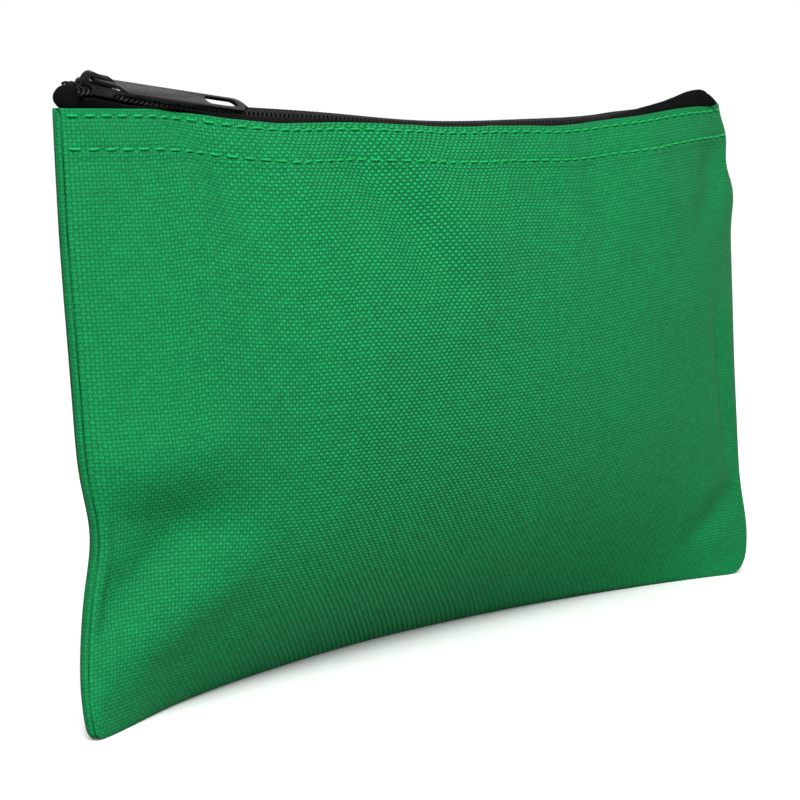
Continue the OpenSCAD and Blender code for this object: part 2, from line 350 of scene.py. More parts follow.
class Build:
    """Collects rings of points into one mesh with UVs in metres."""

    def __init__(self):
        self.mesh = bmesh.new()
        self.uv = self.mesh.loops.layers.uv.new("UVMap")

    def loft(self, rings, uvs, cap_start=False, cap_end=False):
        """Joins closed rings. uvs[i][k] has one value more than its ring, for the seam of the ring."""
        verts = [[self.mesh.verts.new(p) for p in ring] for ring in rings]
        count = len(rings[0])
        for i in range(len(rings) - 1):
            for k in range(count):
                n = (k + 1) % count
                face = self.mesh.faces.new((verts[i][k], verts[i + 1][k], verts[i + 1][n], verts[i][n]))
                corners = ((i, k), (i + 1, k), (i + 1, k + 1), (i, k + 1))
                for loop, (row, column) in zip(face.loops, corners):
                    loop[self.uv].uv = uvs[row][column]
        for wanted, row in ((cap_start, 0), (cap_end, len(rings) - 1)):
            if wanted:
                self.cap(verts[row], uvs[row], row > 0)

    def cap(self, ring, uvs, flip):
        """Closes a ring with strips between its two long sides."""
        count = len(ring)
        for k in range(count // 2 - 1):
            corners = (k, k + 1, count - 2 - k, count - 1 - k)
            keep = [c for n, c in enumerate(corners) if c not in corners[:n]]
            face = self.mesh.faces.new([ring[c] for c in (reversed(keep) if flip else keep)])
            for loop in face.loops:
                loop[self.uv].uv = uvs[ring.index(loop.vert)]

    def tube(self, path, across, half_across, half_other, sides=10, square=1.0):
        """Sweeps an oval along a path. across is the direction that the first half size lies along."""
        rings = []
        uvs = []
        run = 0.0
        for i, p in enumerate(path):
            ahead = path[min(i + 1, len(path) - 1)] - path[max(i - 1, 0)]
            b = (across - ahead * across.dot(ahead) / ahead.length_squared).normalized()
            n = ahead.normalized().cross(b)
            half_b = half_across[i] if isinstance(half_across, list) else half_across
            half_n = half_other[i] if isinstance(half_other, list) else half_other
            run += (p - path[i - 1]).length if i else 0.0
            ring = []
            for k in range(sides):
                a = 2.0 * math.pi * k / sides
                c, s = math.cos(a), math.sin(a)
                ring.append(p + b * math.copysign(abs(c) ** square, c) * half_b
                            + n * math.copysign(abs(s) ** square, s) * half_n)
            rings.append(ring)
            uvs.append([Vector((math.pi * (half_b + half_n) * k / sides, run)) for k in range(sides + 1)])
        self.loft(rings, uvs, True, True)

    def finish(self, name, material, body, smooth_angle=None):
        """Makes the object and puts it on its body; a blended half only gets its place baked into its mesh
        and is left on no body.
        Faces are smooth; edges sharper than smooth_angle stay crisp."""
        bmesh.ops.recalc_face_normals(self.mesh, faces=self.mesh.faces)
        for face in self.mesh.faces:
            face.smooth = True
        if smooth_angle is not None:
            for edge in self.mesh.edges:
                if len(edge.link_faces) == 2 and edge.calc_face_angle() > smooth_angle:
                    edge.smooth = False
        data = bpy.data.meshes.new(name)
        self.mesh.to_mesh(data)
        self.mesh.free()
        obj = bpy.data.objects.new(name, data)
        bpy.context.scene.collection.objects.link(obj)
        obj.data.materials.append(material)
        if body == BLENDED:
            half = "left" if "left" in name else "right"
            reach = -0.140 if half == "left" else 0.140
            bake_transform(obj)
        else:
            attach(obj, body)
        return obj


# ---------------------------------------------------------------- materials


class Value:
    """A shader socket that takes part in arithmetic."""

    def __init__(self, tree, socket):
        self.tree = tree
        self.socket = socket

    @classmethod
    def node(cls, tree, kind, output=0, settings=None, **inputs):
        """Makes one node: its settings first, then its socket values and links. Returns the chosen output."""
        made = tree.nodes.new(kind)
        for name, value in (settings or {}).items():
            setattr(made, name, value)
        for name, value in inputs.items():
            socket = made.inputs[name.replace("_", " ")]
            if isinstance(value, Value):
                tree.links.new(value.socket, socket)
            else:
                socket.default_value = value
        return cls(tree, made.outputs[output])

    def math(self, operation, *others):
        """One Math node with this value first."""
        made = self.tree.nodes.new("ShaderNodeMath")
        made.operation = operation
        for socket, value in zip(made.inputs, (self, *others)):
            if isinstance(value, Value):
                self.tree.links.new(value.socket, socket)
            else:
                socket.default_value = value
        return Value(self.tree, made.outputs[0])

    def __add__(self, other):
        return self.math("ADD", other)

    __radd__ = __add__

    def __mul__(self, other):
        return self.math("MULTIPLY", other)

    __rmul__ = __mul__

    def __sub__(self, other):
        return self.math("SUBTRACT", other)

    def __rsub__(self, other):
        return (self * -1.0) + other

    def __truediv__(self, other):
        return self.math("DIVIDE", other)

    def __rtruediv__(self, other):
        return self.math("POWER", -1.0) * other

    def __pow__(self, other):
        return self.math("POWER", other)

    def __rpow__(self, other):
        return (self * math.log(other)).math("EXPONENT")

    def between(self, low, high):
        """0 below low and 1 above high, straight between."""
        return Value.node(self.tree, "ShaderNodeMapRange", 0, {"clamp": True}, Value=self,
                          **{"From_Min": low, "From_Max": high})


class Finish:
    """One procedural material: its tree, its coordinates and its principled shader."""

    def __init__(self, name, roughness, **fixed):
        self.material = bpy.data.materials.new(name)
        self.material.use_nodes = True
        self.tree = self.material.node_tree
        self.shader = self.tree.nodes["Principled BSDF"]
        self.shader.inputs["Roughness"].default_value = roughness
        for key, value in fixed.items():
            self.shader.inputs[key.replace("_", " ")].default_value = value
        coordinates = self.tree.nodes.new("ShaderNodeTexCoord")
        self.place = Value(self.tree, coordinates.outputs["Object"])
        flat = Value(self.tree, coordinates.outputs["UV"])
        split = Value.node(self.tree, "ShaderNodeSeparateXYZ", 0, Vector=flat)
        self.across = Value(self.tree, split.socket.node.outputs["X"])
        self.along = Value(self.tree, split.socket.node.outputs["Y"])

    def noise(self, scale, detail=3.0, vector=None, roughness=0.5):
        """Noise around 0, about half a unit each way."""
        made = Value.node(self.tree, "ShaderNodeTexNoise", "Fac", None, Vector=vector or self.place,
                          Scale=scale, Detail=detail, Roughness=roughness)
        return made - 0.5

    def vector(self, x, y, z=0.0):
        """A vector from three values."""
        return Value.node(self.tree, "ShaderNodeCombineXYZ", 0, None, X=x, Y=y, Z=z)

    def mix(self, factor, first, second):
        """A colour between two others. Each is a colour or a value."""
        made = self.tree.nodes.new("ShaderNodeMix")
        made.data_type = "RGBA"
        for socket, value in (("Factor_Float", factor), ("A_Color", first), ("B_Color", second)):
            target = next(s for s in made.inputs if s.identifier == socket)
            if isinstance(value, Value):
                self.tree.links.new(value.socket, target)
            else:
                target.default_value = value if isinstance(value, float) else (*value, 1.0)
        return Value(self.tree, next(s for s in made.outputs if s.identifier == "Result_Color"))

    def feed(self, name, value):
        """Links a value to one of the shader's sockets."""
        self.tree.links.new(value.socket, self.shader.inputs[name])

    def bump(self, *layers):
        """Adds bump layers, each a height from 0 to 1 and its depth in metres."""
        normal = None
        for height, depth in layers:
            made = self.tree.nodes.new("ShaderNodeBump")
            made.inputs["Distance"].default_value = depth
            self.tree.links.new(height.socket, made.inputs["Height"])
            if normal is not None:
                self.tree.links.new(normal, made.inputs["Normal"])
            normal = made.outputs["Normal"]
        self.tree.links.new(normal, self.shader.inputs["Normal"])

    def weave(self, pitch_x, pitch_z, stray):
        """A plain weave whose level yarns float highest: both heights from 0 to 1, and each yarn's number."""
        a = self.across / pitch_x + self.noise(90.0, 2.0) * stray
        b = self.along / pitch_z + self.noise(70.0, 2.0) * stray
        row = b.math("FLOOR")
        swing = ((a + row) * math.pi).math("COSINE")
        weft = (swing * 1.5 + 0.75).between(0.0, 1.0) * (b.math("FRACT") * math.pi).math("SINE") ** 0.5
        warp = (swing * -1.6).between(0.0, 1.0) * (a * math.pi).math("COSINE").math("ABSOLUTE") ** 0.8
        return weft, warp, (a + 0.5).math("FLOOR"), row


def cloth_finish(name, sizes, colours, pressed):
    """Coarse woven cloth: bright where a yarn stands proud, and darkened with painted shade between the
    crossings. About 25 mm left of mid-width a painted sheen makes the level yarns brighter than the upright
    ones and the whole cloth a little lighter, and the weave's bump is deepest there. Towards the side seams,
    and all over a pressed piece, the bump lies flatter and both its sets of yarns look alike, with no painted
    sheen."""
    f = Finish(name, 0.72, Specular_IOR_Level=0.05)
    weft, warp, column, row = f.weave(sizes.yarn_x, sizes.yarn_z, 0.5)
    height = weft.math("MAXIMUM", warp * 0.72)
    fibre = f.noise(2600.0, 2.0)
    yarn = Value.node(f.tree, "ShaderNodeTexWhiteNoise", "Value", {"noise_dimensions": "2D"},
                      Vector=f.vector((column * 0.5).math("FLOOR") * 0.37, row * 0.53))
    patch = f.noise(28.0, 3.0)
    # Painted sheen: a mask across the width, highest about 25 mm left of mid-width, makes the level yarns
    # brighter than the upright ones and lifts the whole cloth a little there, standing in for how light
    # catches one set of yarns or the other. The same mask also deepens the weave's bump there.
    off = (f.across + 0.025) / 0.080
    painted_sheen_and_relief = (off * off * -1.0).math("EXPONENT") * (0.0 if pressed else 1.0)
    crown = (weft * (0.76 + 0.16 * painted_sheen_and_relief)).math("MAXIMUM", warp * (0.76 - 0.36 * painted_sheen_and_relief))
    # Painted shade: where the crowns fall away between the crossings, the colour is pulled towards the darker
    # cloth colour. yarn adds each yarn's own tone, and fibre and patch add random tone.
    proud = (crown * (0.84 + 0.28 * yarn) - 0.5) * (0.66 + 0.78 * painted_sheen_and_relief)
    light = 0.28 + 0.15 * painted_sheen_and_relief + proud + fibre * 0.24 + patch * 0.2
    f.feed("Base Color", f.mix(light.between(0.0, 1.0), colours.cloth_painted_shade, colours.cloth))
    f.feed("Roughness", 0.66 + patch * 0.2 + (1.0 - height) * 0.12)
    f.bump((f.noise(160.0, 2.0) + 0.5, 0.25 * MM), (height * (0.4 + 0.6 * painted_sheen_and_relief), 0.26 * MM),
           (fibre + 0.5, 0.05 * MM))
    return f.material


def thread_finish(name, colours):
    """Shiny green sewing thread with a twist."""
    f = Finish(name, 0.5, Specular_IOR_Level=0.05)
    ply = ((f.along / (0.7 * MM) + f.across / (1.1 * MM)) * math.pi).math("SINE").math("ABSOLUTE")
    fibre = f.noise(3500.0, 2.0)
    # Painted shade: the colour falls to about a third of the thread colour in the grooves of the twist.
    f.feed("Base Color", f.mix((ply * 0.8 + fibre * 0.4).between(0.0, 1.0),
                               [c * 0.35 for c in colours.thread], colours.thread))
    f.feed("Roughness", 0.38 + (1.0 - ply) * 0.2)
    f.bump((ply, 0.12 * MM), (fibre + 0.5, 0.02 * MM))
    return f.material


def tape_finish(name, colours):
    """Close black polyester tape."""
    f = Finish(name, 0.8, Specular_IOR_Level=0.02)
    weft, warp = f.weave(0.42 * MM, 0.55 * MM, 0.2)[:2]
    height = weft.math("MAXIMUM", warp * 0.8)
    dust = f.noise(60.0, 4.0)
    # Painted shade: the colour is darker in the hollows of the weave and lighter on its crowns; dust adds
    # random tone.
    f.feed("Base Color", f.mix((height * 0.7 + dust * 0.6).between(0.0, 1.0),
                               [c * 0.5 for c in colours.tape], [c * 2.2 for c in colours.tape]))
    f.feed("Roughness", 0.7 + dust * 0.3)
    f.bump((height, 0.12 * MM), (f.noise(1800.0, 2.0) + 0.5, 0.03 * MM))
    return f.material


def coil_finish(name, colours):
    """Black nylon filament with a soft shine and fine drawn lines."""
    f = Finish(name, 0.34, Specular_IOR_Level=0.08)
    drawn = f.noise(1.0, 2.0, f.vector(f.across * 5000.0, f.along * 300.0))
    wear = f.noise(220.0, 3.0)
    f.feed("Base Color", f.mix((wear + 0.5).between(0.35, 0.8), colours.coil,
                               [c * 2.0 for c in colours.coil]))
    f.feed("Roughness", 0.3 + (wear + 0.5) * 0.22)
    f.bump((drawn + 0.5, 0.03 * MM),)
    return f.material


def enamel_finish(name, colours):
    """Glossy black enamel over cast metal, with faint ripples and rubbed spots."""
    f = Finish(name, 0.3, Specular_IOR_Level=0.1, Coat_Roughness=0.12, Coat_IOR=1.15)
    ripple = f.noise(260.0, 2.0)
    rubbed = f.noise(900.0, 3.0)
    f.feed("Base Color", f.mix((rubbed + 0.5).between(0.62, 0.85), colours.enamel,
                               [c * 5.0 for c in colours.enamel]))
    f.feed("Roughness", 0.28 + (rubbed + 0.5).between(0.5, 0.9) * 0.25)
    f.feed("Coat Weight", 0.25 - (rubbed + 0.5).between(0.6, 0.9) * 0.2)
    f.bump((ripple + 0.5, 0.06 * MM), (rubbed + 0.5, 0.01 * MM))
    return f.material


def finish_of(kind):
    """The material of one kind, made when it is first wanted."""
    sizes = bpy.context.scene.bag_sizes
    colours = bpy.context.scene.bag_colours
    makers = {
        "woven_cloth": lambda name: cloth_finish(name, sizes, colours, False),
        "seam_cloth": lambda name: cloth_finish(name, sizes, colours, True),
        "sewing_thread": lambda name: thread_finish(name, colours),
        "zipper_tape": lambda name: tape_finish(name, colours),
        "nylon_coil": lambda name: coil_finish(name, colours),
        "black_enamel": lambda name: enamel_finish(name, colours),
    }
    return bpy.data.materials.get(kind) or makers[kind](kind)


# ---------------------------------------------------------------- cloth pieces

TOP_RADIUS = 0.58 * MM
WEFT_RUN = 0.162


def outer_point(shape, u, z, side):
    """A point of a wall's outer face."""
    return shape.wall(u, z, side, shape.s.cloth)


def wall_heights(shape, u):
    """Heights of a wall's mesh lines, closest together at the foot and the hem."""
    top = shape.hem_z(u)
    foot = [0.0, 0.3 * MM, 0.8 * MM, 1.4 * MM]
    body = spaced(2.2 * MM, top - 14.0 * MM, 62)
    return foot + body + spaced(top - 14.0 * MM, top - TOP_RADIUS, 22)[1:]


def wall_ring(shape, u, side):
    """One upright line of a wall: up the outside, over the folded edge and down the inside."""
    top = shape.hem_z(u)
    rows = wall_heights(shape, u)
    ring = [outer_point(shape, u, z, side) for z in rows]
    outer_out = shape.s.cloth
    inner_out = outer_out - 2.0 * TOP_RADIUS
    for a in spaced(0.0, math.pi, 7)[1:-1]:
        out = (outer_out + inner_out) / 2 + TOP_RADIUS * math.cos(a)
        ring.append(shape.wall(u, top - TOP_RADIUS + TOP_RADIUS * math.sin(a), side, out))
    for z in reversed(rows):
        single = smooth(-0.4 * MM, 0.4 * MM, top - shape.s.hem_depth - z)
        lift = 0.6 * MM * (1.0 - smooth(0.0, 3.0 * MM, z))
        p = shape.wall(u, z, side, inner_out + 0.3 * MM * single)
        ring.append(p + Vector((0.0, 0.0, lift)))
    return ring


def wall_uvs(shape, u, ring):
    """Yarn coordinates of one upright line. The level yarns run parallel to the folded edge."""
    runs = [0.0]
    for k in range(len(ring)):
        runs.append(runs[-1] + (ring[(k + 1) % len(ring)] - ring[k]).length)
    edge = (len(ring) - 6) // 2 + 3
    stretch = WEFT_RUN / runs[edge]
    return [Vector(((u - 0.5) * shape.s.width, run * stretch)) for run in runs]


def wall_piece(shape, name, side, us, body):
    """One woven wall, or half of one."""
    build = Build()
    rings = [wall_ring(shape, u, side) for u in us]
    uvs = [wall_uvs(shape, u, ring) for u, ring in zip(us, rings)]
    build.loft(rings, uvs, us[0] == 0.0, us[-1] == 1.0)
    obj = build.finish(name, finish_of("woven_cloth"), body)
    return obj


def half_columns(count):
    """Places from a side seam (0) to mid-width (0.5), closer together near the seam."""
    return [0.5 * (0.5 * t + 0.5 * t * t) for t in spaced(0.0, 1.0, count)]


def base_piece(shape):
    """The folded base: a shallow trough that lies on the floor between the walls."""
    build = Build()
    rings = []
    uvs = []
    profile = [(-1, 4.5), (-1, 2.6), (-1, 1.2), (-1, 0.5), (-1, 0.12), (-0.5, 0.0), (0.0, 0.0),
               (0.5, 0.0), (1, 0.12), (1, 0.5), (1, 1.2), (1, 2.6), (1, 4.5)]
    for u in spaced(0.012, 0.988, 160):
        ring = []
        for thick, lift in ((0.25, 0.0), (0.0, 0.5)):
            for share, height in (profile if lift == 0.0 else reversed(profile)):
                z = height * MM + lift * MM
                reach = (shape.half_t(u, z) + thick * MM - 0.2 * MM) * shape.rounding(max(0.0, height * MM))
                ring.append(Vector((shape.x(u, height * MM), shape.mid_y(u, height * MM) + share * reach, z)))
        rings.append(ring)
        uvs.append([Vector((u * shape.s.width, 0.9 * MM * k)) for k in range(len(ring) + 1)])
    build.loft(rings, uvs, True, True)
    obj = build.finish("folded_base", finish_of("woven_cloth"), BAG)
    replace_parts(obj, "base_fold")


class BAG_OT_walls(bpy.types.Operator):
    """Build the woven walls with their turned-in hems and the folded base"""

    bl_idname = "bag.walls"
    bl_label = "Woven walls"

    def execute(self, context):
        shape = Shape(context.scene.bag_sizes)
        near = half_columns(128)
        far = [1.0 - u for u in reversed(near)]
        for name, us in (("front_wall_left", near), ("front_wall_right", far)):
            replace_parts(wall_piece(shape, name, FRONT_SIDE, us, BLENDED), "front_panel")
        back = wall_piece(shape, "back_wall", BACK_SIDE, near + far[1:], BAG)
        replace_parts(back, "back_panel")
        base_piece(shape)
        return {"FINISHED"}


ROLL_X = 1.45 * MM
ROLL_Y = 1.5 * MM


def seam_path(shape, end):
    """The middle line of one side seam's roll, round the lower corner and up the side."""
    sign = -1.0 if end == 0 else 1.0
    r = shape.corner_radius[end]
    corner_x = shape.half_width(r, end) - r
    points = []
    for a in spaced(0.12, math.pi / 2, 9)[:-1]:
        inner = r - ROLL_X
        points.append((corner_x + inner * math.sin(a), r - inner * math.cos(a)))
    top = shape.hem_z(end) - 0.6 * MM
    for z in spaced(r, top, 90):
        points.append((shape.half_width(z, end) - ROLL_X, z))
    return [Vector((sign * x, shape.mid_y(end, z), z)) for x, z in points]


def seam_pieces(shape, name, end):
    """One side seam: the roll that shows, the turned-in allowance and its lockstitch."""
    sign = -1.0 if end == 0 else 1.0
    build = Build()
    path = seam_path(shape, end)
    swell = [1.0 + 0.10 * noise.noise(Vector((0.0, 9.0 * end, p.z * 120.0))) for p in path]
    for k in (0, 1):
        swell[k] = 0.45 + 0.35 * k
        swell[-1 - k] = 0.55 + 0.3 * k
    build.tube(path, Vector((0.0, 1.0, 0.0)), [ROLL_Y * s for s in swell], [ROLL_X * s for s in swell], 14)
    roll = build.finish(name + "_seam_roll", finish_of("seam_cloth"), BAG)
    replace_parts(roll, name + "_side_seam")
    build = Build()
    inset = 6.0 * MM
    path = []
    for z in spaced(9.0 * MM, 138.0 * MM, 70):
        x = shape.half_width(z, end) - inset
        wander = 0.12 * MM * noise.noise(Vector((z * 90, 4, 0)))
        path.append(Vector((sign * x, shape.mid_y(end, z) + wander, z)))
    build.tube(path, Vector((1.0, 0.0, 0.0)), 3.9 * MM, 0.6 * MM, 12, 0.7)
    flap = build.finish(name + "_seam_allowance", finish_of("seam_cloth"), BAG)
    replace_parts(flap, name + "_side_seam")
    build = Build()
    low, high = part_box(name + "_seam_thread")
    count = int((high.z - low.z) / shape.s.stitch_pitch)
    for k in range(count + 1):
        z = low.z + shape.s.stitch / 2 + k * shape.s.stitch_pitch
        x = sign * (shape.half_width(z, end) - inset - 0.5 * MM)
        place = Vector((x, shape.mid_y(end, z) - 0.55 * MM, z))
        stitch(build, place, Vector((0, 0, 1)), Vector((0, -1, 0)), shape.s)
    thread = build.finish(name + "_seam_stitches", finish_of("sewing_thread"), BAG)
    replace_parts(thread, name + "_seam_thread")


def stitch(build, place, along, outward, sizes, lean=0.0):
    """One stitch: a thread that rises out of the cloth, lies on it and dives back in."""
    along = along.normalized()
    aside = along.cross(outward)
    path = []
    for t in spaced(-1.0, 1.0, 8):
        height = sizes.thread * (0.5 - 1.35 * abs(t) ** 5)
        path.append(place + along * (t * sizes.stitch / 2) + outward * height + aside * (lean * t))
    widths = [sizes.thread / 2 * (1.0 - 0.25 * abs(t) ** 3) for t in spaced(-1.0, 1.0, 8)]
    build.tube(path, aside, widths, [w * 0.9 for w in widths], 8)


class BAG_OT_seams(bpy.types.Operator):
    """Build both side seams"""

    bl_idname = "bag.seams"
    bl_label = "Side seams"

    def execute(self, context):
        shape = Shape(context.scene.bag_sizes)
        seam_pieces(shape, "left", 0)
        seam_pieces(shape, "right", 1)
        return {"FINISHED"}


def stitch_row(shape, name, node, side, drop, half, body):
    """A row of stitches along a hem, or half of one."""
    build = Build()
    margin = 2.6 * MM
    pitch = shape.s.stitch_pitch
    for k in range(int((shape.s.width - 2 * margin) / pitch) + 1):
        u = (margin + k * pitch) / shape.s.width
        if half == "left" and u > 0.5 or half == "right" and u <= 0.5:
            continue
        wander = 0.16 * MM * noise.noise(Vector((k * 0.45, drop * 1000, side)))
        z = shape.hem_z(u) - drop + wander
        step = shape.s.stitch / shape.s.width / 2
        p = outer_point(shape, u, z, side)
        q = outer_point(shape, u + step, shape.hem_z(u + step) - drop + wander, side)
        above = outer_point(shape, u, z + 0.4 * MM, side)
        outward = (q - p).cross(above - p).normalized()
        if outward.y * side < 0:
            outward = -outward
        lean = 0.12 * MM * noise.noise(Vector((k * 1.7, 2.0, drop * 500)))
        stitch(build, p, q - p, outward, shape.s, lean)
    obj = build.finish(name, finish_of("sewing_thread"), body)
    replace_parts(obj, node)


class BAG_OT_stitches(bpy.types.Operator):
    """Sew the edge stitching and the hem stitching along both walls"""

    bl_idname = "bag.stitches"
    bl_label = "Stitching"

    def execute(self, context):
        shape = Shape(context.scene.bag_sizes)
        for kind, drop in (("edge", shape.s.edge_drop), ("hem", shape.s.hem_drop)):
            for half in ("left", "right"):
                stitch_row(shape, "front_" + kind + "_stitches_" + half, "front_" + kind + "_stitch",
                           FRONT_SIDE, drop, half, BLENDED)
            stitch_row(shape, "rear_" + kind + "_stitches", "rear_" + kind + "_stitch",
                       BACK_SIDE, drop, "", BAG)
        return {"FINISHED"}


# ---------------------------------------------------------------- zipper


# Slow waves of the chain: where along the bag, how wide and how high.
CHAIN_WAVES = [(-0.046, 0.038, 0.0017), (0.080, 0.034, -0.0020)]


class Chain:
    """The closed zipper chain: a gentle curve that hangs between the side seams."""

    # The true curve's radius, half its length, where the slider stands when closed, and the coils' ends.
    radius = 0.813
    reach = 0.1345
    closed_x = -0.1284
    coil_from = -0.1362
    coil_to = 0.1178
    # At the right and at the left end: where the chain begins to dive, over what run and how deep.
    right_dive = (0.1185, 0.0098, 5.2 * MM)
    left_dive = (0.1315, 0.006, 1.2 * MM)
    # Where the coils begin and end sinking under the front tape, and how deep.
    sink_from = 0.080
    sink_to = 0.106
    sink_depth = 1.6 * MM
    spread_most = 0.8 * MM
    # How far the chain is rolled at its left end, and from mid-length to its right end.
    roll_left = math.radians(18.0)
    roll_right = math.radians(6.0)
    coil_top = 1.2 * MM
    coil_low = -1.0 * MM
    head = 0.95 * MM

    def __init__(self, sizes):
        self.s = sizes
        self.centre = Vector(TRAVEL_JOINT["pos_m"])

    def middle(self, x):
        """Height of the chain's middle. Between the slider's two stops it hangs a little off its true
        curve, and at both ends it dives into the corner."""
        hang = sum(h * math.exp(-((x - place) / width) ** 2) for place, width, h in CHAIN_WAVES)
        start, run, depth = self.right_dive
        dive = depth * (max(x - start, 0.0) / run) ** 1.6 + self.sink(x)
        start, run, depth = self.left_dive
        dive += depth * (max(-x - start, 0.0) / run) ** 1.5
        return self.centre.z - math.sqrt(self.radius ** 2 - x * x) + hang * (1.0 - self.parked(x)) - dive

    def sink(self, x):
        """How far the coils lie below their true curve near the right end, hidden by the front tape."""
        return self.sink_depth * smooth(self.sink_from, self.sink_to, x)

    def parked(self, x):
        """1 where the slider stands at either stop, 0 between."""
        return smooth(0.104, 0.121, abs(x))

    def roll(self, x):
        """How far the chain is rolled towards the front."""
        flat = smooth(-0.075, -0.010, x)
        return self.roll_left + (self.roll_right - self.roll_left) * flat

    def spread(self, x):
        """How far each coil stands off the other one on the slider's open side."""
        return self.spread_most * (1.0 - smooth(-self.reach, self.closed_x + 2.0 * MM, x))

    def place(self, x, side, f, n):
        """A point beside the chain: f outwards from its middle and n up from it."""
        a = self.roll(x)
        f += self.spread(x)
        out = f * math.cos(a) - side * n * math.sin(a)
        up = side * f * math.sin(a) + n * math.cos(a)
        return Vector((x, self.centre.y + side * out, self.middle(x) + up))


def tape_line(shape, chain, side, x):
    """The tape's path across itself at one place: flat under the coil, then down behind the hem."""
    u = 0.5 + x / shape.s.width
    top = shape.hem_z(u)
    parked = chain.parked(x)
    cover = smooth(0.060, 0.092, x) if side == FRONT_SIDE else 0.0
    peak = 0.5 * MM * math.exp(-((x - 0.1130) / 0.006) ** 2) + chain.sink(x)
    low = -1.28 * MM
    foot = 3.2 * MM + 1.4 * MM * parked * cover
    open_height = -1.0 * MM + (1.0 - parked) * 1.45 * MM
    height = open_height + (1.85 * MM + peak - open_height) * cover
    a = chain.place(x, side, 1.0 * MM, low)
    b = chain.place(x, side, foot - 0.6 * MM, low)
    c = chain.place(x, side, foot + 0.1 * MM, (low + height) / 2)
    d = chain.place(x, side, foot + 0.55 * MM, height)

    def behind(z):
        return Vector((x, shape.wall(u, z, side, -0.75 * MM).y, z))

    e = behind(min(top - 0.5 * MM, d.z - 0.3 * MM))
    bulge = 0.35 * MM * (1.0 - parked) + 0.3 * MM * cover
    bend = Vector((x, (d.y + e.y) / 2 + side * bulge, (d.z + e.z) / 2 + 0.12 * MM))
    hidden = [behind(top - drop * MM) for drop in (2.5, 5.0, 8.0, 11.0)]
    line = catmull([a, b, c, d, bend, e, *hidden], 3)
    for p in line:
        if p.z < top + 0.4 * MM:
            room = behind(min(p.z, top - 0.5 * MM)).y
            p.y = side * min(side * p.y, side * room)
    return line


def ribbon(build, lines, thickness, uv_x, start_cap, end_cap):
    """A thin strip of even thickness through lines of points that lie across it."""
    rings = []
    uvs = []
    for line, along in zip(lines, uv_x):
        offs = []
        for k in range(len(line)):
            t = line[min(k + 1, len(line) - 1)] - line[max(k - 1, 0)]
            offs.append(Vector((0.0, -t.z, t.y)).normalized() * (thickness / 2))
        over = [p + o for p, o in zip(line, offs)]
        under = [p - o for p, o in zip(line, offs)]
        ring = over + under[::-1]
        run = [0.0]
        for k in range(len(ring)):
            run.append(run[-1] + (ring[(k + 1) % len(ring)] - ring[k]).length)
        rings.append(ring)
        uvs.append([Vector((along, r)) for r in run])
    build.loft(rings, uvs, start_cap, end_cap)


def tape_piece(shape, chain, name, node, side, low, high, body):
    """One tape, or half of one."""
    build = Build()
    xs = spaced(low, high, int((high - low) / (1.5 * MM)))
    lines = [tape_line(shape, chain, side, x) for x in xs]
    ribbon(build, lines, 0.36 * MM, xs, low != 0.0, high != 0.0)
    obj = build.finish(name, finish_of("zipper_tape"), body)
    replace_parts(obj, node)


# The gathered tape ends as stations: distance past the chain's reach (below 0 is short of it), top,
# bottom and half width, in mm.
END_STATIONS = {
    0: [(-1.2, 156.4, 151.0, 2.0), (0.2, 157.2, 150.8, 2.3), (1.6, 157.5, 150.8, 2.4),
        (3.0, 157.2, 151.2, 2.3), (4.2, 156.6, 151.8, 2.0), (5.2, 155.8, 152.6, 1.5),
        (5.9, 155.0, 153.4, 0.8), (6.1, 154.6, 153.8, 0.4)],
    1: [(-9.6, 152.3, 149.0, 1.6), (-7.5, 152.6, 149.0, 2.0), (-5.6, 153.2, 149.0, 2.1),
        (-4.0, 153.0, 148.8, 2.2), (-2.5, 152.3, 148.4, 2.1), (-1.2, 151.8, 148.2, 1.9),
        (0.0, 151.2, 148.2, 1.5), (0.8, 150.7, 148.6, 1.1), (1.3, 150.2, 149.2, 0.5)],
}


def tape_end(shape, chain, name, end):
    """The end of both tapes: gathered into a rounded lump and tucked down into the side seam."""
    sign = -1.0 if end == 0 else 1.0
    rings = []
    uvs = []
    marks = [Vector(s) for s in END_STATIONS[end]]
    for row, (past, top, low, half) in enumerate(catmull(marks, 4)):
        x = sign * (chain.reach + past * MM)
        middle = (top + low) / 2
        ring = []
        for k in range(24):
            a = 2.0 * math.pi * k / 24
            c, s = math.cos(a), math.sin(a)
            fold = 1.0 + 0.07 * noise.noise(Vector((past * 0.6, 3.0 * c, 3.0 * s + end * 7)))
            y = half * math.copysign(abs(c) ** 0.75, c) * (1.0 + 0.12 * s) * fold
            z = middle + (top - low) / 2 * math.copysign(abs(s) ** 0.75, s) * fold
            ring.append(Vector((x, chain.centre.y + y * MM, z * MM)))
        rings.append(ring)
        uvs.append([Vector((0.9 * MM * k, 0.6 * MM * row)) for k in range(25)])
    build = Build()
    build.loft(rings, uvs, True, True)
    obj = build.finish(name + "_tape_end", finish_of("zipper_tape"), BAG)
    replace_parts(obj, name + "_zipper_end")


class BAG_OT_tapes(bpy.types.Operator):
    """Build both zipper tapes and their turned-down ends"""

    bl_idname = "bag.tapes"
    bl_label = "Zipper tapes"

    def execute(self, context):
        sizes = context.scene.bag_sizes
        shape = Shape(sizes)
        chain = Chain(sizes)
        low = -chain.reach
        high = chain.reach - 6.0 * MM
        tape_piece(shape, chain, "front_tape_left", "front_tape", FRONT_SIDE, low, 0.0, BLENDED)
        tape_piece(shape, chain, "front_tape_right", "front_tape", FRONT_SIDE, 0.0, high, BLENDED)
        tape_piece(shape, chain, "rear_tape_whole", "rear_tape", BACK_SIDE, low, high, BAG)
        tape_end(shape, chain, "left", 0)
        tape_end(shape, chain, "right", 1)
        return {"FINISHED"}


